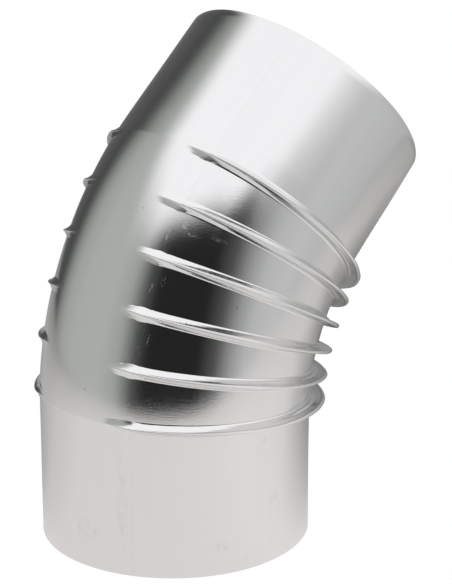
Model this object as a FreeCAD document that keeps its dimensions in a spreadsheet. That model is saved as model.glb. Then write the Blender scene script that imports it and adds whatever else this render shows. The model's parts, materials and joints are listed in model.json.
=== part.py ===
import FreeCAD, Part
import math
import os
import Sketcher

# Single-wall aluminium flue elbow, 45 degrees, DN 110, bent by six pleats.
# The lower collar stands on its rim with the rim's centre at the origin. +Z runs up
# its axis and the elbow bends towards +X, so -X is the smooth back and +X the throat.
# Between two pleats lies a straight ring, a gore. Stretch 0 is the lower collar,
# stretches 1 to 5 are the gores and stretch 6 is the upper collar.

dimensions = {
    "sheetThickness": 0.6,
    "socketBoreRadius": 55.15,
    "spigotRadius": 55.0,
    "tubeRadius": 55.5,
    "bendAngle": 45.0,
    "pleatCount": 6,
    "pleatSpacing": 16.0,
    "lowerLength": 59.0,
    "upperLength": 58.5,
    "fitLength": 46.0,
    "coneLength": 4.0,
    "pleatWidth": 5.4,
    "crestRadius": 59.9,
    "crestOffset": 2.85,
    "lipWidth": 1.6,
    "smoothHalfAngle": 20.0,
    "onsetAngle": 15.0,
    "weldAngle": 32.0,
    "weldWidth": 1.2,
    "cutMargin": 10.0,
}

# Half section of a folded pleat: distance from its mid plane as a share of the half
# width, or of half the lip's width, then distance from the tube as a share of the
# crest height. Inside the fold, half the crease is half the lip less one sheet.
flankOutside = [(1.0, 0.0), (0.7, 0.1), (0.45, 0.4)]
flankInside = [(1.0, 0.0), (0.5, 0.1), (0.2, 0.4)]
lipOutside = [(1.0, 0.78), (0.6, 0.96), (0.0, 1.0)]
creaseInside = [(1.0, 0.8), (0.0, 1.0)]

doc = FreeCAD.newDocument("flue_elbow")
cells = doc.addObject("Spreadsheet::Sheet", "Dimensions")
for row, (alias, number) in enumerate(dimensions.items(), start=1):
    cells.set(f"A{row}", alias)
    cells.set(f"B{row}", str(number))
    cells.setAlias(f"B{row}", alias)
doc.recompute()


def value(expression):
    # Evaluates an expression written for an object of this document.
    result = cells.evalExpression(expression.replace("Dimensions.", ""))
    return float(getattr(result, "Value", result))


sheetThickness = value("sheetThickness")
tubeRadius = value("tubeRadius")
pleatWidth = value("pleatWidth")
pleatCount = int(value("pleatCount"))
pleatTurn = value("bendAngle / pleatCount")
mitreAngle = math.radians(pleatTurn / 2)

# Expressions for the slanted plane where a straight stretch meets a pleat:
# half the pleat's turn, the width cut across, its slope there, and half the pleat.
turnText = "(Dimensions.bendAngle / Dimensions.pleatCount / 2)"
reachText = "(Dimensions.crestRadius + Dimensions.cutMargin)"
slopeText = f"({reachText} * tan{turnText})"
slabText = f"(Dimensions.pleatWidth / 2 / cos{turnText})"


def turned(angle):
    return FreeCAD.Rotation(FreeCAD.Vector(0, 1, 0), angle)


def stretch_axis(stretch):
    return turned(pleatTurn * stretch).multVec(FreeCAD.Vector(0, 0, 1))


def pleat_centre(pleat):
    # Where the axes of the stretches on both sides of a pleat cross. Pleat 1 is the lowest.
    centre = FreeCAD.Vector(0, 0, value("lowerLength"))
    for stretch in range(1, pleat):
        centre += stretch_axis(stretch) * value("pleatSpacing")
    return centre


def pleat_placement(pleat):
    return FreeCAD.Placement(pleat_centre(pleat), turned(pleatTurn * (pleat - 0.5)))


def upper_placement():
    return FreeCAD.Placement(pleat_centre(pleatCount), turned(value("bendAngle")))


def polygon_sketch(body, role, name, corners):
    # Closed polygon whose corners are pairs of expressions, measured from the origin.
    sketch = body.newObject("Sketcher::SketchObject", name)
    plane = [item for item in body.Origin.OriginFeatures if item.Role == role][0]
    sketch.AttachmentSupport = [(plane, "")]
    sketch.MapMode = "FlatFace"
    points = [FreeCAD.Vector(value(across), value(up), 0) for across, up in corners]
    count = len(points)
    for index in range(count):
        sketch.addGeometry(Part.LineSegment(points[index], points[(index + 1) % count]))
    for index in range(count):
        sketch.addConstraint(Sketcher.Constraint("Coincident", index, 2, (index + 1) % count, 1))
    for index, corner in enumerate(corners):
        for kind, expression in zip(("DistanceX", "DistanceY"), corner):
            constraint = Sketcher.Constraint(kind, -1, 1, index, 1, value(expression))
            sketch.renameConstraint(sketch.addConstraint(constraint), f"{kind}{index}")
            sketch.setExpression(f"Constraints.{kind}{index}", expression)
    return sketch


def new_body(name, placement):
    body = doc.addObject("PartDesign::Body", name)
    body.Label = name
    body.Placement = placement
    return body


def wall(body, corners):
    # Revolves a closed wall section about the tube's axis.
    ring = body.newObject("PartDesign::Revolution", f"{body.Name}_wall")
    ring.Profile = polygon_sketch(body, "XZ_Plane", f"{body.Name}_section", corners)
    ring.ReferenceAxis = (ring.Profile[0], ["V_Axis"])
    ring.Angle = 360
    doc.recompute()


def pocket(body, name, role, corners):
    # Cuts a polygon right through the body, to both sides of its plane.
    cut = body.newObject("PartDesign::Pocket", name)
    cut.Profile = polygon_sketch(body, role, f"{name}_outline", corners)
    cut.Type = "ThroughAll"
    cut.Midplane = True
    doc.recompute()


def mitre_top(body, joint):
    # Removes what lies above the slanted plane where the pleat at height joint begins.
    top = f"{joint} + 4 * {reachText}"
    pocket(body, f"{body.Name}_top", "XZ_Plane", [
        (f"-{reachText}", f"{joint} - {slabText} + {slopeText}"),
        (f"-{reachText}", top),
        (reachText, top),
        (reachText, f"{joint} - {slabText} - {slopeText}"),
    ])


def mitre_foot(body, joint):
    # Removes what lies below the slanted plane where the pleat at height joint ends.
    foot = f"{joint} - 4 * {reachText}"
    pocket(body, f"{body.Name}_foot", "XZ_Plane", [
        (f"-{reachText}", f"{joint} + {slabText} - {slopeText}"),
        (f"-{reachText}", foot),
        (reachText, foot),
        (reachText, f"{joint} + {slabText} + {slopeText}"),
    ])


def weld_slot(body):
    # Gap between the edges of the rolled sheet, which the weld fills.
    cosine = "cos(Dimensions.weldAngle)"
    sine = "sin(Dimensions.weldAngle)"
    half = "Dimensions.weldWidth / 2"
    near = "(Dimensions.tubeRadius - Dimensions.cutMargin)"
    far = "(Dimensions.tubeRadius + Dimensions.cutMargin)"
    corners = []
    for radius, side, other in ((near, "-", "+"), (far, "-", "+"), (far, "+", "-"), (near, "+", "-")):
        across = f"-{radius} * {cosine} {side} {half} * {sine}"
        up = f"-{radius} * {sine} {other} {half} * {cosine}"
        corners.append((across, up))
    pocket(body, f"{body.Name}_slot", "XY_Plane", corners)


def lower_collar():
    # Female end: a mating pipe slides in as far as the small cone inside.
    body = new_body("lower_collar", FreeCAD.Placement())
    bore = "Dimensions.socketBoreRadius"
    tube = "Dimensions.tubeRadius"
    skin = "Dimensions.sheetThickness"
    cone = "Dimensions.fitLength + Dimensions.coneLength"
    top = "Dimensions.lowerLength + Dimensions.cutMargin"
    wall(body, [
        (bore, "0"),
        (f"{bore} + {skin}", "0"),
        (f"{bore} + {skin}", "Dimensions.fitLength"),
        (tube, cone),
        (tube, top),
        (f"{tube} - {skin}", top),
        (f"{tube} - {skin}", cone),
        (bore, "Dimensions.fitLength"),
    ])
    mitre_top(body, "Dimensions.lowerLength")
    weld_slot(body)
    return body


def upper_collar():
    # Male end, in a frame at the last pleat with +Z along the outlet.
    body = new_body("upper_collar", upper_placement())
    outer = "Dimensions.spigotRadius"
    tube = "Dimensions.tubeRadius"
    skin = "Dimensions.sheetThickness"
    end = "Dimensions.upperLength"
    step = f"{end} - Dimensions.fitLength"
    cone = f"{step} - Dimensions.coneLength"
    wall(body, [
        (f"{tube} - {skin}", "-Dimensions.cutMargin"),
        (tube, "-Dimensions.cutMargin"),
        (tube, cone),
        (outer, step),
        (outer, end),
        (f"{outer} - {skin}", end),
        (f"{outer} - {skin}", step),
        (f"{tube} - {skin}", cone),
    ])
    mitre_foot(body, "0")
    weld_slot(body)
    return body


def gore(stretch):
    # Straight ring between two pleats, mitred at both ends, in a frame at its middle.
    middle = (pleat_centre(stretch) + pleat_centre(stretch + 1)) * 0.5
    body = new_body(f"gore_{stretch}", FreeCAD.Placement(middle, turned(pleatTurn * stretch)))
    tube = "Dimensions.tubeRadius"
    bore = "Dimensions.tubeRadius - Dimensions.sheetThickness"
    end = "Dimensions.pleatSpacing"
    wall(body, [(bore, f"-{end}"), (tube, f"-{end}"), (tube, end), (bore, end)])
    mitre_top(body, "Dimensions.pleatSpacing / 2")
    mitre_foot(body, "-Dimensions.pleatSpacing / 2")
    weld_slot(body)
    return body


def pleat_height(angle):
    # Height of the crest above the tube, at an angle in radians from the smooth back.
    # The crest is a circle set towards the throat, and it swells up out of the back.
    degrees = abs(math.degrees(math.remainder(angle, 2 * math.pi)))
    ramp = (degrees - value("smoothHalfAngle")) / value("onsetAngle")
    ramp = min(1.0, max(0.0, ramp))
    swell = ramp * ramp * (3 - 2 * ramp)
    full = value("crestRadius") - tubeRadius - value("crestOffset") * math.cos(angle)
    return swell * full


def seam_angle(radius, share, side):
    # Where one edge of the weld's gap crosses a ring, in radians from the back.
    seam = math.radians(value("weldAngle"))
    angle = seam
    for _ in range(5):
        reach = radius + share * pleat_height(angle)
        angle = seam + side * math.asin(value("weldWidth") / 2 / reach)
    return angle


def ring_angles(start, end):
    # Angles round a pleat from one edge of the weld's gap to the other, close
    # together where the pleat swells and wide apart where the curve is plain.
    # Each span is its first angle, its last angle and its number of steps.
    low = math.radians(value("smoothHalfAngle"))
    high = low + math.radians(value("onsetAngle"))
    full = 2 * math.pi
    spans = [
        (start, high, 2),
        (high, full - high, 24),
        (full - high, full - low, 6),
        (full - low, full + low, 3),
        (full + low, end, 5),
    ]
    angles = [start]
    for first, last, steps in spans:
        angles += [first + (last - first) * step / steps for step in range(1, steps + 1)]
    return angles


def pleat_point(level, radius, share, angle):
    # A point at height level: on the tilted tube, then pushed out by share of the
    # crest height. The tube's axis leans away on each side of the pleat.
    shift = abs(level) * math.tan(mitreAngle)
    reach = radius + share * pleat_height(angle)
    across = shift - reach * math.cos(angle) / math.cos(mitreAngle)
    return FreeCAD.Vector(across, -reach * math.sin(angle), level)


def pleat_edge(level, radius, share):
    # Open curve round the pleat, from one edge of the weld's gap to the other.
    start = seam_angle(radius, share, 1)
    end = 2 * math.pi + seam_angle(radius, share, -1)
    points = [pleat_point(level, radius, share, angle) for angle in ring_angles(start, end)]
    seam = math.radians(value("weldAngle"))
    even = ring_angles(seam, seam + 2 * math.pi)
    curve = Part.BSplineCurve()
    curve.interpolate(Points=points, Parameters=[angle - seam for angle in even])
    return curve.toShape()


def pleat_section():
    # Outer and inner half sections: distance from the mid plane, share of the height.
    half = pleatWidth / 2
    lip = value("lipWidth") / 2
    crease = lip - sheetThickness
    sections = []
    for flank, width, tip in ((flankOutside, lip, lipOutside), (flankInside, crease, creaseInside)):
        section = [(half * across, share) for across, share in flank]
        section += [(width * across, share) for across, share in tip]
        sections.append(section)
    return sections


def both_flanks(section):
    # From the lower flank over the crest to the upper flank.
    lower = [(-level, share) for level, share in section]
    return lower + section[-2::-1]


def slot_faces(outer, inner):
    # The two flat faces on one side of the weld's gap, one below the mid plane, one above.
    middle = len(outer) // 2
    centre = len(inner) // 2
    lower = outer[:middle + 1] + inner[centre::-1]
    upper = outer[middle:] + inner[:centre - 1:-1]
    return [polygon_face(lower), polygon_face(upper)]


def polygon_face(points):
    return Part.Face(Part.makePolygon(points + points[:1]))


def flank_face(outer, inner):
    # Flat face where the pleat meets the stretch beside it.
    ends = [Part.makeLine(outer.Vertexes[end].Point, inner.Vertexes[end].Point) for end in (0, -1)]
    return Part.Face(Part.Wire(Part.sortEdges([outer, inner] + ends)[0]))


def solid_from(faces):
    shell = Part.Shell(faces)
    shell.sewShape()
    solid = Part.Solid(shell)
    if solid.Volume < 0:
        solid.reverse()
    return solid


def pleat_ring():
    # Folded ring in its own frame, +Z up through it, open at the weld's gap.
    walls = []
    for radius, half in zip((tubeRadius, tubeRadius - sheetThickness), pleat_section()):
        walls.append([pleat_edge(level, radius, share) for level, share in both_flanks(half)])
    outer, inner = walls
    faces = [flank_face(outer[0], inner[0]), flank_face(outer[-1], inner[-1])]
    for edges in walls:
        faces += Part.makeLoft([Part.Wire(edge) for edge in edges], False, True).Faces
    for end in (0, -1):
        tips = [[edge.Vertexes[end].Point for edge in edges] for edges in walls]
        faces += slot_faces(*tips)
    return solid_from(faces)


def straight_points(levels, placement, side):
    # Points on one edge of the weld's gap along a collar, from pairs of height and radius.
    points = []
    for height, radius in levels:
        angle = seam_angle(radius, 0, side)
        point = FreeCAD.Vector(-radius * math.cos(angle), -radius * math.sin(angle), height)
        points.append(placement.multVec(point))
    return points


def weld_rail(half, depth, side):
    # One long edge of the weld, as a list of points for each stretch and the half
    # pleats beside it. half is the pleat's half section and depth is below the skin.
    fit = value("fitLength")
    cone = fit + value("coneLength")
    end = value("upperLength")
    socket = value("socketBoreRadius") + sheetThickness - depth
    tube = tubeRadius - depth
    spigot = value("spigotRadius") - depth
    stretches = [straight_points([(0, socket), (fit, socket), (cone, tube)], FreeCAD.Placement(), side)]
    for pleat in range(1, pleatCount + 1):
        placement = pleat_placement(pleat)
        path = []
        for level, share in both_flanks(half):
            path.append(placement.multVec(pleat_point(level, tube, share, seam_angle(tube, share, side))))
        middle = len(path) // 2
        stretches[-1] += path[:middle + 1]
        stretches.append(path[middle:])
    levels = [(end - cone, tube), (end - fit, spigot), (end, spigot)]
    stretches[-1] += straight_points(levels, upper_placement(), side)
    return stretches


def longitudinal_weld():
    # Weld metal between the sheet's edges, from rim to rim, folded with each pleat.
    outside, inside = pleat_section()
    outer = [weld_rail(outside, 0, side) for side in (-1, 1)]
    inner = [weld_rail(inside, sheetThickness, side) for side in (-1, 1)]
    faces = []
    for left, right in (outer, inner):
        for here, there in zip(left, right):
            for step in range(len(here) - 1):
                faces.append(polygon_face([here[step], here[step + 1], there[step + 1]]))
                faces.append(polygon_face([here[step], there[step + 1], there[step]]))
    for top, bottom in zip(outer, inner):
        faces += [polygon_face(above + below[::-1]) for above, below in zip(top, bottom)]
    for stretch, point in ((0, 0), (-1, -1)):
        loop = [outer[0], outer[1], inner[1], inner[0]]
        faces.append(polygon_face([rail[stretch][point] for rail in loop]))
    return solid_from(faces)


def feature(name, shape, placement):
    part = doc.addObject("Part::Feature", name)
    part.Label = name
    part.Shape = shape
    part.Placement = placement
    return part


def build_elbow():
    parts = [lower_collar(), upper_collar()]
    parts += [gore(stretch) for stretch in range(1, pleatCount)]
    ring = pleat_ring()
    for pleat in range(1, pleatCount + 1):
        parts.append(feature(f"pleat_{pleat}", ring, pleat_placement(pleat)))
    parts.append(feature("longitudinal_weld", longitudinal_weld(), FreeCAD.Placement()))
    return parts


def check(parts):
    for item in doc.Objects:
        if "Invalid" in item.State or "Error" in item.State:
            raise RuntimeError(f"{item.Name} failed: {item.State}")
    for part in parts:
        if part.Shape.isNull() or not part.Shape.isValid() or len(part.Shape.Solids) != 1:
            raise RuntimeError(f"{part.Label} is not one valid solid")


elbow = build_elbow()
doc.recompute()
check(elbow)
os.makedirs("parts", exist_ok=True)
for part in elbow:
    part.Shape.exportStep(f"parts/{part.Label}.step")
    print(part.Label, round(part.Shape.Volume, 1), "mm3")
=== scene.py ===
import json
import math

import bpy
from mathutils import Matrix, Vector, noise


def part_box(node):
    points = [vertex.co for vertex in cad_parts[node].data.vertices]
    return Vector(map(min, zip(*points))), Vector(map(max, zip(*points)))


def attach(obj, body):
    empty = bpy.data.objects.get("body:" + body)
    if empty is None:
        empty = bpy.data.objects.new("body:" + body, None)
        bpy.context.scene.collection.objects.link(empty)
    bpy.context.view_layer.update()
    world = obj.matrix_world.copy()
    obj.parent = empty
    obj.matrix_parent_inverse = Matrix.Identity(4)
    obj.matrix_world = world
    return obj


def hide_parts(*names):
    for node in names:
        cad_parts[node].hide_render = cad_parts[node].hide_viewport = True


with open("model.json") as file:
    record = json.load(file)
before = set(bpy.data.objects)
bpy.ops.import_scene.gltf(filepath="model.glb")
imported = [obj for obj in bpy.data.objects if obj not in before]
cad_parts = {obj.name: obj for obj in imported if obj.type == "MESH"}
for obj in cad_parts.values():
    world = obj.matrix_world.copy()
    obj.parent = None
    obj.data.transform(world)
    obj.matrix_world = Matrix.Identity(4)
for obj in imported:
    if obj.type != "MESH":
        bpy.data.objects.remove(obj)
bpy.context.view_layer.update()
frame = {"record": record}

# Lengths are in metres and angles in degrees, unless noted. Places round the tube are
# counted from the smooth back.
elbow = {
    "pleats": 6,
    "bend": 45.0,
    "lowerLength": 0.059,
    "upperLength": 0.0585,
    "pleatSpacing": 0.016,
    "pleatWidth": 0.0054,
    "wall": 0.0006,
    "plain": 0.008,       # stretch of each collar beside its pleat that doesn't taper
    "around": 320,        # vertices round every tube, so that the pieces line up
    "smoothBelow": 38.0,  # angle between faces that still shade as one surface
    "seam": 32.0,         # where the sheet's edges are welded
}
ringStep = 0.001          # between the rings of a tube until they take their places
mounts = {mount["name"]: mount for mount in frame["record"]["mounts"]}
elbow["tube"] = (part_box("gore_1")[1].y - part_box("gore_1")[0].y) / 2
elbow["socket"] = mounts["socket"]["dims"]["r_mm"] / 1000 + elbow["wall"]
elbow["spigot"] = mounts["spigot"]["dims"]["r_mm"] / 1000
halfTurn = math.radians(elbow["bend"] / elbow["pleats"] / 2)


def stretchAngle(stretch):
    return 2 * halfTurn * stretch


def stretchAxis(stretch):
    return Vector((math.sin(stretchAngle(stretch)), 0, math.cos(stretchAngle(stretch))))


def pleatCentre(pleat):
    centre = Vector((0, 0, elbow["lowerLength"]))
    for stretch in range(1, pleat):
        centre += stretchAxis(stretch) * elbow["pleatSpacing"]
    return centre


bendRadius = elbow["pleatSpacing"] / 2 / math.tan(halfTurn)
bendCentre = Vector((bendRadius, 0, elbow["lowerLength"] - bendRadius * math.tan(halfTurn)))


def arch(point):
    # Bows each gore out between its two pleats, so that the bend is a smooth arc.
    reach = Vector((point.x - bendCentre.x, 0, point.z - bendCentre.z))
    turn = math.atan2(reach.z, -reach.x)
    middle = min(max(round(turn / (2 * halfTurn)), 1), elbow["pleats"] - 1) * 2 * halfTurn
    swell = max(1, math.cos(turn - middle) / math.cos(halfTurn))
    return point + reach * (swell - 1)


# Slow unevenness of hand-formed sheet, strongest where the throat is squeezed. The
# heights are where that begins and ends, measured on a slope that follows the bend.
dent = {"depth": 0.00012, "fineness": 30, "squeezedDepth": 0.0003, "squeezedFineness": 80,
        "inward": 0.035, "slope": 0.5, "begins": (0.05, 0.075), "ends": (0.21, 0.185)}


def dents(point):
    inward = bendRadius - math.hypot(point.x - bendCentre.x, point.z - bendCentre.z)
    height = point.z + point.x * dent["slope"]
    squeezed = ramp(height, *dent["begins"]) * ramp(height, *dent["ends"])
    squeezed *= ramp(inward, 0.0, dent["inward"])
    deep = noise.noise(point * dent["squeezedFineness"]) * dent["squeezedDepth"]
    return deep * squeezed + noise.noise(point * dent["fineness"]) * dent["depth"]


def ramp(value, low, high):
    if low > high:
        return 1 - ramp(value, high, low)
    share = min(1.0, max(0.0, (value - low) / (high - low)))
    return share * share * (3 - 2 * share)


def deselectAll():
    if bpy.context.object and bpy.context.object.mode != "OBJECT":
        bpy.ops.object.mode_set(mode="OBJECT")
    bpy.ops.object.select_all(action="DESELECT")


def choose(piece):
    # Makes the piece the only one selected, and the active one.
    deselectAll()
    bpy.context.view_layer.objects.active = piece
    piece.select_set(True)


def stackOfRings(name, around, radius, rings):
    # A circle extruded upwards, one step for each further ring.
    deselectAll()
    bpy.ops.mesh.primitive_circle_add(vertices=around, radius=radius, fill_type="NOTHING")
    piece = bpy.context.object
    piece.name = name
    piece.data.name = name
    bpy.ops.object.mode_set(mode="EDIT")
    bpy.ops.mesh.select_all(action="SELECT")
    for ring in range(1, rings):
        bpy.ops.mesh.extrude_edges_move(TRANSFORM_OT_translate={"value": (0, 0, ringStep)})
    bpy.ops.object.mode_set(mode="OBJECT")
    return piece


def ringOf(vertex):
    return round(vertex.co.z / ringStep)


def onTube(radius, turn, height):
    # A point of an upright tube, at an angle in radians from the back.
    return Vector((-radius * math.cos(turn), -radius * math.sin(turn), height))


def rememberBlank(piece, places):
    # Keeps, for the materials, where each vertex lay on the straight tube before it was bent.
    attribute = piece.data.attributes.new("blank", "FLOAT_VECTOR", "POINT")
    attribute.data.foreach_set("vector", [number for place in places for number in place])


def mitre(turn):
    # How much further than at its axis a straight stretch runs before its pleat, at an
    # angle in radians from the back.
    slab = elbow["pleatWidth"] / 2 / math.cos(halfTurn)
    return elbow["tube"] * math.cos(turn) * math.tan(halfTurn) - slab


def straightTube(name, radiusAt, foot, top, start, shares):
    # A tube between two slanted ends. radiusAt gives the radius at a height, foot and top
    # give the ends at an angle, and shares are the places of its rings between them.
    piece = stackOfRings(name, elbow["around"], elbow["tube"], len(shares))
    blank = []
    for vertex in piece.data.vertices:
        turn = math.atan2(-vertex.co.y, -vertex.co.x)
        height = foot(turn) + (top(turn) - foot(turn)) * shares[ringOf(vertex)]
        vertex.co = onTube(radiusAt(height), turn, height)
        blank.append(onTube(elbow["tube"], turn, start + height))
    rememberBlank(piece, blank)
    return piece


def thicken(piece, wall):
    # The sheet's thickness, inwards from the outer skin.
    choose(piece)
    bpy.ops.object.mode_set(mode="EDIT")
    bpy.ops.mesh.select_all(action="SELECT")
    bpy.ops.mesh.remove_doubles(threshold=1e-7)
    bpy.ops.mesh.normals_make_consistent(inside=False)
    bpy.ops.object.mode_set(mode="OBJECT")
    solid = piece.modifiers.new("sheet", "SOLIDIFY")
    solid.thickness = wall
    solid.offset = -1
    solid.use_even_offset = True
    bpy.ops.object.modifier_apply(modifier=solid.name)


def roundRim(piece, height, width):
    # Takes the sharpness off both edges of a cut rim.
    choose(piece)
    bpy.ops.object.mode_set(mode="EDIT")
    bpy.ops.mesh.select_all(action="DESELECT")
    bpy.ops.object.mode_set(mode="OBJECT")
    vertices = piece.data.vertices
    for edge in piece.data.edges:
        ends = [vertices[index].co for index in edge.vertices]
        level = all(abs(end.z - height) < 1e-5 for end in ends)
        across = abs(ends[0].xy.length - ends[1].xy.length) > 1e-4
        edge.select = level and not across
    bpy.ops.object.mode_set(mode="EDIT")
    bpy.ops.mesh.select_mode(type="EDGE")
    bpy.ops.mesh.bevel(offset=width, segments=2, affect="EDGES")
    bpy.ops.object.mode_set(mode="OBJECT")


def settle(piece, node, centre, angle):
    # Puts the piece where its node is, turned in the plane of the bend.
    choose(piece)
    piece.location = centre
    piece.rotation_euler = (0, angle, 0)
    bpy.ops.object.transform_apply(location=True, rotation=True, scale=True)
    for vertex in piece.data.vertices:
        point = vertex.co.copy()
        outward = (point - axisPoint(point)).normalized()
        vertex.co = arch(point) + outward * dents(point)
    bpy.ops.object.shade_smooth_by_angle(angle=math.radians(elbow["smoothBelow"]))
    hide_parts(node)
    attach(piece, "root")


def axisPoint(point):
    # The nearest point on the elbow's bent centre line.
    reach = Vector((point.x - bendCentre.x, 0, point.z - bendCentre.z))
    turn = math.atan2(reach.z, -reach.x)
    if turn <= 0:
        return Vector((0, 0, point.z))
    if turn >= math.radians(elbow["bend"]):
        start = pleatCentre(elbow["pleats"])
        along = stretchAxis(elbow["pleats"])
        return start + along * (point - start).dot(along)
    return bendCentre + Vector((-math.cos(turn), 0, math.sin(turn))) * bendRadius


def lowerRadius(height):
    # Eases from the socket's radius at the rim to the tube's, a little before the pleat.
    share = min(1, height / (elbow["lowerLength"] - elbow["plain"]))
    return elbow["socket"] + (elbow["tube"] - elbow["socket"]) * share


def upperRadius(height):
    # Eases from the tube's radius, a little after the pleat, to the spigot's.
    share = max(0, (height - elbow["plain"]) / (elbow["upperLength"] - elbow["plain"]))
    return elbow["tube"] + (elbow["spigot"] - elbow["tube"]) * share


# Rings of both collars, closer together near the pleat, and the roundness of the rim.
collar = {"rings": 30, "crowding": 1.7, "rimBevel": 0.00012}
crowded = [(ring / collar["rings"]) ** collar["crowding"] for ring in range(collar["rings"] + 1)]


def lowerCollar():
    length = elbow["lowerLength"]
    shares = [1 - share for share in reversed(crowded)]
    piece = straightTube("lower_collar_sheet", lowerRadius, lambda turn: 0,
                         lambda turn: length + mitre(turn), 0, shares)
    thicken(piece, elbow["wall"])
    roundRim(piece, 0, collar["rimBevel"])
    settle(piece, "lower_collar", (0, 0, 0), 0)
    return piece


def upperCollar():
    length = elbow["upperLength"]
    start = elbow["lowerLength"] + elbow["pleatSpacing"] * (elbow["pleats"] - 1)
    piece = straightTube("upper_collar_sheet", upperRadius, lambda turn: -mitre(turn),
                         lambda turn: length, start, crowded)
    thicken(piece, elbow["wall"])
    roundRim(piece, length, collar["rimBevel"])
    settle(piece, "upper_collar", pleatCentre(elbow["pleats"]), stretchAngle(elbow["pleats"]))
    return piece


def gore(stretch):
    rings = 16
    half = elbow["pleatSpacing"] / 2
    shares = [0.5 - 0.5 * math.cos(math.pi * ring / rings) for ring in range(rings + 1)]
    start = elbow["lowerLength"] + elbow["pleatSpacing"] * (stretch - 0.5)
    piece = straightTube(f"gore_{stretch}_sheet", lambda height: elbow["tube"],
                         lambda turn: -half - mitre(turn), lambda turn: half + mitre(turn),
                         start, shares)
    thicken(piece, elbow["wall"])
    middle = (pleatCentre(stretch) + pleatCentre(stretch + 1)) / 2
    settle(piece, f"gore_{stretch}", middle, stretchAngle(stretch))
    return piece


# How a pleat stands up out of the tube, in millimetres and degrees from the back.
fold = {
    "crest": 59.9, "towardsThroat": 2.85,
    "begins": 19.0, "full": 34.0,
    "shoulder": 0.55, "shoulderAt": 30.0, "shoulderSpread": 4.0,
    "lowerRolls": (3.2, 6.0), "upperRolls": (4.3, 6.4),
    "unevenness": 0.03, "unevenTurn": 6, "unevenRise": 1.5,
    # The fold leans down by crestDrop for each crestDropAt that it rises.
    "crestDrop": 0.45, "crestDropAt": 7.0,
    "creaseHalf": 0.12, "creaseCurve": 2.2, "creaseTop": 0.8, "wallTop": 0.98,
}
# Outer half section of a low fold, a plain ridge, and of a tall one, which has a rolled
# root, a thin web and a beaded lip: share of the height, then distance from the middle.
lowFold = [(0, 2.5), (0.03, 2.3), (0.07, 2.12), (0.12, 1.96), (0.18, 1.8), (0.24, 1.64), (0.3, 1.49),
           (0.36, 1.34), (0.42, 1.19), (0.48, 1.05), (0.54, 0.92), (0.61, 0.77), (0.68, 0.63), (0.74, 0.52),
           (0.8, 0.43), (0.85, 0.37), (0.9, 0.33), (0.94, 0.28), (0.97, 0.21), (0.99, 0.12), (1, 0)]
tallFold = [(0, 2.5), (0.02, 2.0), (0.05, 1.72), (0.09, 1.55), (0.14, 1.46), (0.19, 1.4), (0.235, 1.26),
            (0.27, 1.02), (0.305, 0.82), (0.36, 0.72), (0.45, 0.68), (0.6, 0.64), (0.7, 0.64), (0.745, 0.68),
            (0.78, 0.78), (0.83, 0.86), (0.88, 0.86), (0.93, 0.76), (0.965, 0.56), (0.99, 0.27), (1, 0)]
insideShares = [0, 0.04, 0.1, 0.2, 0.4, 0.65]


def crestHeight(angle):
    # Height above the tube in millimetres, at an angle in degrees from the back.
    away = abs((angle + 180) % 360 - 180)
    full = fold["crest"] - elbow["tube"] * 1000 - fold["towardsThroat"] * math.cos(math.radians(away))
    return full * ramp(away, fold["begins"], fold["full"])


def flank(angle, seed, side):
    # The outer half section at an angle: distance from the mid plane, then height. The
    # upper side keeps its plain slope further round than the lower.
    away = abs((angle + 180) % 360 - 180)
    height = crestHeight(angle)
    tall = ramp(height, *fold[side + "Rolls"])
    bump = math.exp(-((away - fold["shoulderAt"]) / fold["shoulderSpread"]) ** 2)
    points = []
    for (lowShare, lowHalf), (tallShare, tallHalf) in zip(lowFold, tallFold):
        share = lowShare + (tallShare - lowShare) * tall
        across = lowHalf + (tallHalf - lowHalf) * tall
        across *= 1 + fold["shoulder"] * bump * (1 - share) * min(1, share * 8)
        spot = Vector((angle / fold["unevenTurn"], seed, share * fold["unevenRise"]))
        uneven = noise.noise(spot) * fold["unevenness"]
        across += uneven * ramp(share, 0, 0.08) * ramp(share, 0.6, 0.3)
        points.append((across, height * share))
    return points


def pleatPath(angle, seed):
    # Closed wall section at one angle: height above or below the mid plane, then
    # distance from the tube's skin, both in millimetres.
    half = elbow["pleatWidth"] * 500
    height = crestHeight(angle)
    above = [(half, 0)] + flank(angle, seed, "upper")
    below = [(half, 0)] + flank(angle, seed + 50, "lower")
    wall = elbow["wall"] * 1000
    crease = fold["creaseHalf"]
    inner = [(half, -wall)]
    for share in insideShares:
        across = crease + (half - wall - crease) * (1 - share) ** fold["creaseCurve"]
        inner.append((across, height * share * fold["wallTop"] - wall))
    inner.append((0, height * fold["creaseTop"] - wall))
    path = [(-across, rise) for across, rise in below] + above[-2::-1]
    path += inner + [(-across, rise) for across, rise in inner[-2::-1]]
    return path


def pleatPoint(angle, level, rise):
    # A point of a pleat in its own frame, from its angle in degrees and millimetres.
    turn = math.radians(angle)
    dropped = level - fold["crestDrop"] * max(0, rise) / fold["crestDropAt"]
    shift = abs(level) * math.tan(halfTurn)
    reach = elbow["tube"] * 1000 + rise
    across = shift - reach * math.cos(turn) / math.cos(halfTurn)
    return Vector((across, -reach * math.sin(turn), dropped)) / 1000


def pleatSeed(number):
    # Makes the unevenness of each pleat its own.
    return number * 3.7


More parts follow.
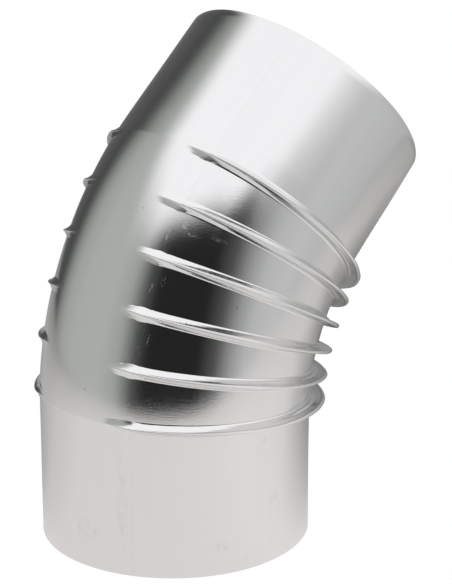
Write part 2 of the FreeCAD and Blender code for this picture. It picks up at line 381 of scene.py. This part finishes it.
def pleat(number):
    rings = len(pleatPath(0, 0))
    piece = stackOfRings(f"pleat_{number}_sheet", elbow["around"], elbow["tube"], rings)
    paths = {}
    blank = []
    start = elbow["lowerLength"] + elbow["pleatSpacing"] * (number - 1)
    for vertex in piece.data.vertices:
        turn = math.atan2(-vertex.co.y, -vertex.co.x)
        key = round(turn / (2 * math.pi) * elbow["around"])
        angle = math.degrees(turn)
        if key not in paths:
            paths[key] = pleatPath(angle, pleatSeed(number))
        level, rise = paths[key][ringOf(vertex)]
        vertex.co = pleatPoint(angle, level, rise)
        blank.append(onTube(elbow["tube"], turn, start + level / 1000))
    rememberBlank(piece, blank)
    closeSection(piece)
    settle(piece, f"pleat_{number}", pleatCentre(number), stretchAngle(number - 0.5))
    return piece


def closeSection(piece):
    # Joins the last ring of the section to the first, which closes the wall.
    choose(piece)
    edgesAt = [0] * len(piece.data.vertices)
    for edge in piece.data.edges:
        for index in edge.vertices:
            edgesAt[index] += 1
    bpy.ops.object.mode_set(mode="EDIT")
    bpy.ops.mesh.select_mode(type="VERT")
    bpy.ops.mesh.select_all(action="DESELECT")
    bpy.ops.object.mode_set(mode="OBJECT")
    for vertex in piece.data.vertices:
        vertex.select = edgesAt[vertex.index] == 3
    bpy.ops.object.mode_set(mode="EDIT")
    bpy.ops.mesh.select_mode(type="EDGE")
    bpy.ops.mesh.bridge_edge_loops()
    bpy.ops.mesh.select_all(action="SELECT")
    bpy.ops.mesh.normals_make_consistent(inside=False)
    bpy.ops.object.mode_set(mode="OBJECT")


# The dressed seam, a strip barely proud of the sheet that it joins. It begins and ends
# a little short of the rims, and its straight parts stop a little short of the pleats.
weld = {"width": 0.0011, "proud": 0.00002, "sunk": 0.00012, "rimGap": 0.0001, "pleatGap": 0.0002,
        "collarSteps": 30, "goreSteps": 12, "steep": 0.2, "aside": (0.5, -0.8, 0.1)}


def weldCourse():
    # The seam's course over the outside of the elbow, as pairs of place and blank height.
    turn = math.radians(elbow["seam"])
    first = elbow["lowerLength"]
    last = elbow["pleats"]
    half = elbow["pleatSpacing"] / 2
    reach = mitre(turn) - weld["pleatGap"]
    course = []

    def straight(centre, tilt, foot, top, radiusAt, start, steps):
        for step in range(steps + 1):
            height = foot + (top - foot) * step / steps
            local = onTube(radiusAt(height), turn, height)
            course.append((centre + Matrix.Rotation(tilt, 3, "Y") @ local, start + height))

    straight(Vector(), 0, weld["rimGap"], first + reach, lowerRadius, 0, weld["collarSteps"])
    for number in range(1, last + 1):
        start = first + elbow["pleatSpacing"] * (number - 1)
        tilt = Matrix.Rotation(stretchAngle(number - 0.5), 3, "Y")
        # The outside of the wall comes first in the section.
        outside = pleatPath(elbow["seam"], pleatSeed(number))[:2 * len(lowFold) + 1]
        for level, rise in outside:
            local = tilt @ pleatPoint(elbow["seam"], level, rise)
            course.append((pleatCentre(number) + local, start + level / 1000))
        if number < last:
            middle = (pleatCentre(number) + pleatCentre(number + 1)) / 2
            straight(middle, stretchAngle(number), -half - reach, half + reach,
                     lambda height: elbow["tube"], start + half, weld["goreSteps"])
    straight(pleatCentre(last), stretchAngle(last), -reach, elbow["upperLength"] - weld["rimGap"],
             upperRadius, first + elbow["pleatSpacing"] * (last - 1), weld["collarSteps"])
    return course


def weldStrip():
    course = weldCourse()
    piece = stackOfRings("seam_weld", 4, weld["width"], len(course))
    turn = math.radians(elbow["seam"])
    places = [arch(point) + (point - axisPoint(point)).normalized() * dents(point)
              for point, height in course]
    blank = []
    for vertex in piece.data.vertices:
        ring = ringOf(vertex)
        corner = round(math.atan2(vertex.co.y, vertex.co.x) / (math.pi / 2)) % 4
        before = places[max(0, ring - 1)]
        after = places[min(len(places) - 1, ring + 1)]
        along = (after - before).normalized()
        outward = (places[ring] - axisPoint(places[ring])).normalized()
        across = along.cross(outward)
        # Where the course climbs almost straight off the tube, across is given instead, to run round the
        # tube.
        if across.length < weld["steep"]:
            across = Vector(weld["aside"])
        across.normalize()
        side = weld["width"] / 2 * (1 if corner in (0, 3) else -1)
        lift = weld["proud"] if corner in (0, 1) else -weld["sunk"]
        vertex.co = places[ring] + across * side + across.cross(along) * lift
        blank.append(onTube(elbow["tube"], turn, course[ring][1]))
    rememberBlank(piece, blank)
    bpy.ops.object.mode_set(mode="EDIT")
    bpy.ops.mesh.select_all(action="SELECT")
    bpy.ops.mesh.normals_make_consistent(inside=False)
    bpy.ops.object.mode_set(mode="OBJECT")
    bpy.ops.object.shade_smooth_by_angle(angle=math.radians(elbow["smoothBelow"]))
    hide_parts("longitudinal_weld")
    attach(piece, "root")
    return piece


pieces = [lowerCollar(), upperCollar()]
pieces += [gore(stretch) for stretch in range(1, elbow["pleats"])]
print("collars and gores made")
pieces += [pleat(number) for number in range(1, elbow["pleats"] + 1)]
print("pleats made")
weldPiece = weldStrip()
print("seam made")


def group(name, sockets):
    # An empty shader node group with its outputs declared.
    tree = bpy.data.node_groups.new(name, "ShaderNodeTree")
    for label, kind in sockets:
        tree.interface.new_socket(label, in_out="OUTPUT", socket_type=kind)
    return tree, tree.nodes.new("NodeGroupOutput")


def blankPlace(nodes):
    # Where a point of the sheet lay on the straight tube before it was bent, in metres.
    place = nodes.new("ShaderNodeAttribute")
    place.attribute_name = "blank"
    return place.outputs["Vector"]


def stretched(nodes, links, source, scale):
    node = nodes.new("ShaderNodeMapping")
    node.inputs["Scale"].default_value = scale
    links.new(source, node.inputs["Vector"])
    return node.outputs[0]


def noiseOf(nodes, links, source, scale, detail, rough):
    node = nodes.new("ShaderNodeTexNoise")
    node.inputs["Scale"].default_value = scale
    node.inputs["Detail"].default_value = detail
    node.inputs["Roughness"].default_value = rough
    links.new(source, node.inputs["Vector"])
    return node.outputs["Fac"]


def ranged(nodes, links, source, low, high, toLow, toHigh):
    node = nodes.new("ShaderNodeMapRange")
    links.new(source, node.inputs["Value"])
    for name, number in (("From Min", low), ("From Max", high), ("To Min", toLow), ("To Max", toHigh)):
        node.inputs[name].default_value = number
    return node.outputs[0]


def combined(nodes, links, operation, first, second):
    node = nodes.new("ShaderNodeMath")
    node.operation = operation
    for socket, source in zip(node.inputs, (first, second)):
        if isinstance(source, (int, float)):
            socket.default_value = source
        else:
            links.new(source, socket)
    return node.outputs[0]


def mixed(nodes, links, factor, first, second):
    # Colours go in as sockets or as three numbers.
    node = nodes.new("ShaderNodeMix")
    node.data_type = "RGBA"
    links.new(factor, node.inputs["Factor"])
    for socket, source in zip((node.inputs["A"], node.inputs["B"]), (first, second)):
        if isinstance(source, tuple):
            socket.default_value = (*source, 1)
        else:
            links.new(source, socket)
    return node.outputs["Result"]


# Fine lines and broad streaks left by the rolling mill, along the tube, and the
# pebbling of soft sheet. Higher numbers are finer.
grain = {"lines": 1500, "lineStretch": (1, 1, 0.05), "lineDepth": 0.12,
         "streaks": 260, "streakStretch": (1, 1, 0.04), "pebbles": 2600}


def rollingGrain():
    sockets = [(label, "NodeSocketFloat") for label in ("Height", "Streak")]
    tree, output = group("rolling_grain", sockets)
    nodes, links = tree.nodes, tree.links
    place = blankPlace(nodes)
    lines = noiseOf(nodes, links, stretched(nodes, links, place, grain["lineStretch"]),
                    grain["lines"], 3, 0.6)
    broad = noiseOf(nodes, links, stretched(nodes, links, place, grain["streakStretch"]),
                    grain["streaks"], 3, 0.55)
    pebbles = noiseOf(nodes, links, place, grain["pebbles"], 1, 0.5)
    fine = combined(nodes, links, "MULTIPLY", lines, grain["lineDepth"])
    links.new(combined(nodes, links, "ADD", fine, pebbles), output.inputs["Height"])
    links.new(broad, output.inputs["Streak"])
    return tree


# Handling marks: angle from the back, height along the blank and half sizes in
# degrees and millimetres. Scuffs are bright scratches, specks bright grit, smudges dull
# and brownish, and pits dark.
marks = {
    "scuffs": [(32, 64, 1.6, 5), (32, 81, 1.4, 4), (35, 85, 1.2, 3.5), (31, 98, 1.6, 3.5),
               (35, 102, 1.5, 3), (31, 113, 1.8, 4), (35, 119, 1.5, 2.5)],
    "specks": [(40, 116.6, 5, 1.6), (50, 118.6, 5.5, 1.7), (36, 118.5, 2, 2.5)],
    "smudges": [(11, 16, 8, 5.5), (90, 52.5, 4, 2), (95, 27, 3.5, 3), (69, 12, 5, 3.5),
                (80, 4, 3, 2), (28, 30, 3, 26)],
    "pits": [(66, 100.5, 0.35, 0.35), (10, 67, 0.35, 0.35), (16, 120, 0.35, 0.35),
             (48, 92, 0.35, 0.35)],
}
# The noise that breaks up the inside of each kind of mark. Higher numbers are finer, and
# an edge is where the noise begins to count and where it counts in full.
breakup = {"scratches": 1900, "scratchTurn": (0, 0.35, 0.2), "scratchStretch": (1, 1, 0.22),
           "scratchEdge": (0.53, 0.6), "grit": 3200, "gritEdge": (0.6, 0.68),
           "clouds": 420, "cloudStretch": (1, 1, 0.5), "cloudEdge": (0.42, 0.68)}


def markMask(nodes, links, place, angle, height, wide, tall):
    # 1 in the middle of an ellipse on the tube, falling to 0 at its edge.
    centre = onTube(elbow["tube"], math.radians(angle), height / 1000)
    half = math.radians(wide) * elbow["tube"]
    offset = nodes.new("ShaderNodeVectorMath")
    offset.operation = "SUBTRACT"
    offset.inputs[1].default_value = centre
    links.new(place, offset.inputs[0])
    squashed = nodes.new("ShaderNodeVectorMath")
    squashed.operation = "MULTIPLY"
    squashed.inputs[1].default_value = (1 / half, 1 / half, 1000 / tall)
    links.new(offset.outputs[0], squashed.inputs[0])
    length = nodes.new("ShaderNodeVectorMath")
    length.operation = "LENGTH"
    links.new(squashed.outputs[0], length.inputs[0])
    return ranged(nodes, links, length.outputs["Value"], 1.0, 0.3, 0.0, 1.0)


def handlingMarks():
    sockets = [(label, "NodeSocketFloat") for label in ("Scuff", "Smudge", "Pit")]
    tree, output = group("handling_marks", sockets)
    nodes, links = tree.nodes, tree.links
    place = blankPlace(nodes)

    def masked(kind):
        total = 0.0
        for mark in marks[kind]:
            total = combined(nodes, links, "MAXIMUM", markMask(nodes, links, place, *mark), total)
        return total

    slanted = nodes.new("ShaderNodeMapping")
    slanted.inputs["Rotation"].default_value = breakup["scratchTurn"]
    slanted.inputs["Scale"].default_value = breakup["scratchStretch"]
    links.new(place, slanted.inputs["Vector"])
    scratches = noiseOf(nodes, links, slanted.outputs[0], breakup["scratches"], 3, 0.7)
    scratches = ranged(nodes, links, scratches, *breakup["scratchEdge"], 0.0, 1.0)
    grit = noiseOf(nodes, links, place, breakup["grit"], 1, 0.5)
    grit = ranged(nodes, links, grit, *breakup["gritEdge"], 0.0, 1.0)
    clouds = noiseOf(nodes, links, stretched(nodes, links, place, breakup["cloudStretch"]),
                     breakup["clouds"], 5, 0.7)
    clouds = ranged(nodes, links, clouds, *breakup["cloudEdge"], 0.0, 1.0)
    scuffed = combined(nodes, links, "MULTIPLY", masked("scuffs"), scratches)
    specked = combined(nodes, links, "MULTIPLY", masked("specks"), grit)
    links.new(combined(nodes, links, "MAXIMUM", scuffed, specked), output.inputs["Scuff"])
    links.new(combined(nodes, links, "MULTIPLY", masked("smudges"), clouds), output.inputs["Smudge"])
    links.new(masked("pits"), output.inputs["Pit"])
    return tree


def bareMetal(name):
    # A metal with nothing set yet but that, and its node tree.
    material = bpy.data.materials.new(name)
    material.use_nodes = True
    tree = material.node_tree
    shader = tree.nodes["Principled BSDF"]
    shader.inputs["Metallic"].default_value = 1
    return material, shader, tree.nodes, tree.links


def raised(nodes, links, height, distance, shader):
    bump = nodes.new("ShaderNodeBump")
    bump.inputs["Distance"].default_value = distance
    bump.inputs["Strength"].default_value = 1.0
    links.new(height, bump.inputs["Height"])
    links.new(bump.outputs[0], shader.inputs["Normal"])


def aluminium():
    finish = {"colour": (0.87, 0.87, 0.865), "worn": (0.86, 0.86, 0.855), "dull": (0.74, 0.70, 0.62),
              "bright": (0.96, 0.96, 0.95), "pit": (0.12, 0.11, 0.1),
              "roughLow": 0.085, "roughHigh": 0.12, "scuffed": 0.5, "smudged": 0.6,
              "relief": 0.00002}
    material, shader, nodes, links = bareMetal("rolled_aluminium")
    rolled = nodes.new("ShaderNodeGroup")
    rolled.node_tree = rollingGrain()
    handled = nodes.new("ShaderNodeGroup")
    handled.node_tree = handlingMarks()
    streak = ranged(nodes, links, rolled.outputs["Streak"], 0.3, 0.7, 0.0, 1.0)
    smudge = combined(nodes, links, "MULTIPLY", handled.outputs["Smudge"], finish["smudged"])
    colour = mixed(nodes, links, streak, finish["colour"], finish["worn"])
    colour = mixed(nodes, links, smudge, colour, finish["dull"])
    colour = mixed(nodes, links, handled.outputs["Scuff"], colour, finish["bright"])
    colour = mixed(nodes, links, handled.outputs["Pit"], colour, finish["pit"])
    links.new(colour, shader.inputs["Base Color"])
    rough = ranged(nodes, links, rolled.outputs["Streak"], 0.25, 0.75,
                   finish["roughLow"], finish["roughHigh"])
    scuffed = combined(nodes, links, "MULTIPLY", handled.outputs["Scuff"], finish["scuffed"])
    rough = combined(nodes, links, "MAXIMUM", rough, scuffed)
    links.new(rough, shader.inputs["Roughness"])
    raised(nodes, links, rolled.outputs["Height"], finish["relief"], shader)
    return material


def weldMetal():
    # Dressed weld: duller than the sheet, with short ripples across the seam.
    finish = {"dark": (0.84, 0.84, 0.83), "light": (0.88, 0.88, 0.875),
              "roughLow": 0.09, "roughHigh": 0.16,
              "ripples": 900, "rippleStretch": (0.4, 0.4, 1.6), "relief": 0.000006}
    material, shader, nodes, links = bareMetal("dressed_weld")
    place = stretched(nodes, links, blankPlace(nodes), finish["rippleStretch"])
    ripple = noiseOf(nodes, links, place, finish["ripples"], 3, 0.6)
    links.new(mixed(nodes, links, ripple, finish["dark"], finish["light"]), shader.inputs["Base Color"])
    rough = ranged(nodes, links, ripple, 0.3, 0.7, finish["roughLow"], finish["roughHigh"])
    links.new(rough, shader.inputs["Roughness"])
    raised(nodes, links, ripple, finish["relief"], shader)
    return material


sheetMetal = aluminium()
for piece in pieces:
    piece.data.materials.clear()
    piece.data.materials.append(sheetMetal)
weldPiece.data.materials.clear()
weldPiece.data.materials.append(weldMetal())
print("materials made")


# The studio: a white sheet underneath that glows with painted light and shade, a broad soft box overhead,
# and walls that differ round the set. Compass angles are in degrees from -Y, positive towards +X.
studio = {
    "softBox": (1.01, 1.0, 1.025),
    # Where the soft box begins and is whole, as elevations at a compass angle.
    "softBoxEdge": [(-180, 44, 66), (-157, 48, 68), (-140, 43, 66), (-114, 28, 54), (-90, 27, 43),
                    (-76, 32, 43), (-64, 33, 43), (-50, 33, 42), (-39, 32, 40), (-30, 29, 36), (-22, 27, 36),
                    (-13, 24, 38), (-6, 17, 35), (13, 8, 37), (60, 6, 37), (130, 10, 50), (180, 44, 66)],
    # Level at a compass angle, faintly green on the left and faintly blue on the right.
    "walls": [(-180, 0.07, "green"), (-173, 0.13, "green"), (-167, 0.26, "green"), (-156, 0.40, "green"),
              (-140, 0.46, "green"), (-108, 0.47, "green"), (-92, 0.39, "green"), (-78, 0.08, "green"),
              (-68, 0.018, "green"), (-26, 0.018, "green"), (-12, 0.09, "green"), (0, 0.33, "plain"),
              (12, 0.52, "blue"), (28, 0.58, "blue"), (60, 0.50, "blue"), (90, 0.45, "plain"),
              (130, 0.25, "plain"), (160, 0.11, "green"), (180, 0.07, "green")],
    "tints": {"green": (0.96, 1.0, 0.965), "plain": (0.985, 1.0, 1.0), "blue": (0.985, 0.99, 1.0)},
    # The sheet under the elbow, painted light and shade: bright in front, grey far off, and a painted shadow
    # where the elbow's shadow falls.
    "floorNear": (0.79, 0.765, 0.76),
    "floorFar": (0.45, 0.455, 0.45),
    "floorFades": (0.20, 0.60),
    # Painted light and shade: share of the sheet's brightness at a compass angle, brightest in front and
    # dimmer behind.
    "floorLightByCompass": [(-180, 0.64), (-160, 0.68), (-144, 0.80), (-129, 0.86), (-112, 0.93), (-60, 0.95),
                    (-20, 0.98), (10, 1.03), (34, 1.0), (58, 0.90), (82, 0.76), (112, 0.66), (162, 0.62),
                    (180, 0.64)],
    # Painted shadow of the elbow on the sheet: its colour, centre and radius.
    "shade": (0.10, 0.105, 0.10),
    "shadeCentre": (0.19, 0.13, 0.0),
    "shadeRadius": 0.25,
    "floorRadius": 0.60,
    "floorCentre": (0.13, 0.23, 0.0),
}


def compassShare(nodes, links, vector):
    # The compass angle of a vector as a share of a turn, and its height as a socket.
    split = nodes.new("ShaderNodeSeparateXYZ")
    links.new(vector, split.inputs[0])
    front = combined(nodes, links, "MULTIPLY", split.outputs[1], -1)
    compass = combined(nodes, links, "ARCTAN2", split.outputs[0], front)
    turned = combined(nodes, links, "DIVIDE", compass, 2 * math.pi)
    return combined(nodes, links, "ADD", turned, 0.5), split.outputs[2]


def compassRamp(nodes, links, share, stops):
    band = nodes.new("ShaderNodeValToRGB")
    band.color_ramp.interpolation = "LINEAR"
    elements = band.color_ramp.elements
    elements.remove(elements[-1])
    for index, (angle, colour) in enumerate(stops):
        position = (angle + 180) / 360
        stop = elements[0] if index == 0 else elements.new(position)
        stop.position = position
        stop.color = (*colour, 1)
    links.new(share, band.inputs[0])
    return band.outputs[0]


def studioWorld():
    world = bpy.data.worlds.new("studio")
    bpy.context.scene.world = world
    world.use_nodes = True
    nodes, links = world.node_tree.nodes, world.node_tree.links
    nodes.clear()
    place = nodes.new("ShaderNodeTexCoord")
    share, height = compassShare(nodes, links, place.outputs["Generated"])
    levels = [(angle, [level * part for part in studio["tints"][tint]])
              for angle, level, tint in studio["walls"]]
    walls = compassRamp(nodes, links, share, levels)
    edge = nodes.new("ShaderNodeSeparateColor")
    edges = [(angle, (low / 90, high / 90, 0)) for angle, low, high in studio["softBoxEdge"]]
    links.new(compassRamp(nodes, links, share, edges), edge.inputs[0])
    rise = nodes.new("ShaderNodeMapRange")
    rise.interpolation_type = "SMOOTHSTEP"
    lift = combined(nodes, links, "ARCSINE", height, 0)
    links.new(combined(nodes, links, "DIVIDE", lift, math.pi / 2), rise.inputs["Value"])
    links.new(edge.outputs[0], rise.inputs["From Min"])
    links.new(edge.outputs[1], rise.inputs["From Max"])
    lit = mixed(nodes, links, rise.outputs[0], walls, studio["softBox"])
    seen = nodes.new("ShaderNodeLightPath").outputs["Is Camera Ray"]
    background = nodes.new("ShaderNodeBackground")
    links.new(mixed(nodes, links, seen, lit, (1.0, 1.0, 1.0)), background.inputs["Color"])
    output = nodes.new("ShaderNodeOutputWorld")
    links.new(background.outputs[0], output.inputs["Surface"])


def studioFloor():
    deselectAll()
    bpy.ops.mesh.primitive_circle_add(vertices=128, radius=studio["floorRadius"], fill_type="NGON",
                                      location=studio["floorCentre"])
    floor = bpy.context.object
    floor.name = "floor"
    bpy.ops.object.transform_apply(location=True, rotation=True, scale=True)
    material = bpy.data.materials.new("white_sheet_painted_light")
    material.use_nodes = True
    nodes, links = material.node_tree.nodes, material.node_tree.links
    nodes.clear()
    place = nodes.new("ShaderNodeTexCoord")

    def distanceShare(centre, near, far):
        away = nodes.new("ShaderNodeVectorMath")
        away.operation = "DISTANCE"
        away.inputs[1].default_value = centre
        links.new(place.outputs["Object"], away.inputs[0])
        return ranged(nodes, links, away.outputs["Value"], near, far, 0.0, 1.0)

    # Painted light and shade: the sheet's brightness set by compass angle and falling off with distance.
    share = compassShare(nodes, links, place.outputs["Object"])[0]
    facings = [(angle, [level] * 3) for angle, level in studio["floorLightByCompass"]]
    facing = compassRamp(nodes, links, share, facings)
    fades = distanceShare((0, 0, 0), *studio["floorFades"])
    lit = nodes.new("ShaderNodeVectorMath")
    lit.operation = "MULTIPLY"
    links.new(mixed(nodes, links, fades, studio["floorNear"], studio["floorFar"]), lit.inputs[0])
    links.new(facing, lit.inputs[1])
    # Painted shadow of the elbow: the shade colour at shadeCentre, fading out by shadeRadius.
    shadow = distanceShare(studio["shadeCentre"], 0, studio["shadeRadius"])
    shaded = mixed(nodes, links, shadow, studio["shade"], lit.outputs[0])
    # The sheet glows with this painted light and shadow instead of being lit; the camera sees it plain
    # white.
    seen = nodes.new("ShaderNodeLightPath").outputs["Is Camera Ray"]
    glow = nodes.new("ShaderNodeEmission")
    links.new(mixed(nodes, links, seen, shaded, (1.0, 1.0, 1.0)), glow.inputs["Color"])
    output = nodes.new("ShaderNodeOutputMaterial")
    links.new(glow.outputs[0], output.inputs["Surface"])
    floor.data.materials.append(material)


def camera():
    view = {"target": Vector((0.03814, 0.01076, 0.09077)), "azimuth": -41.844, "elevation": 16.534,
            "distance": 0.7418, "lens": 107.19}
    turn, lift = math.radians(view["azimuth"]), math.radians(view["elevation"])
    back = Vector((math.sin(turn) * math.cos(lift), -math.cos(turn) * math.cos(lift), math.sin(lift)))
    lens = bpy.data.cameras.new("camera")
    lens.lens = view["lens"]
    lens.sensor_width = 36
    lens.clip_start = 0.01
    eye = bpy.data.objects.new("camera", lens)
    bpy.context.scene.collection.objects.link(eye)
    eye.location = view["target"] + back * view["distance"]
    eye.rotation_mode = "QUATERNION"
    eye.rotation_quaternion = (-back).to_track_quat("-Z", "Y")
    bpy.context.scene.camera = eye


studioWorld()
studioFloor()
camera()
bpy.context.scene.view_settings.view_transform = "Standard"
print("studio made")
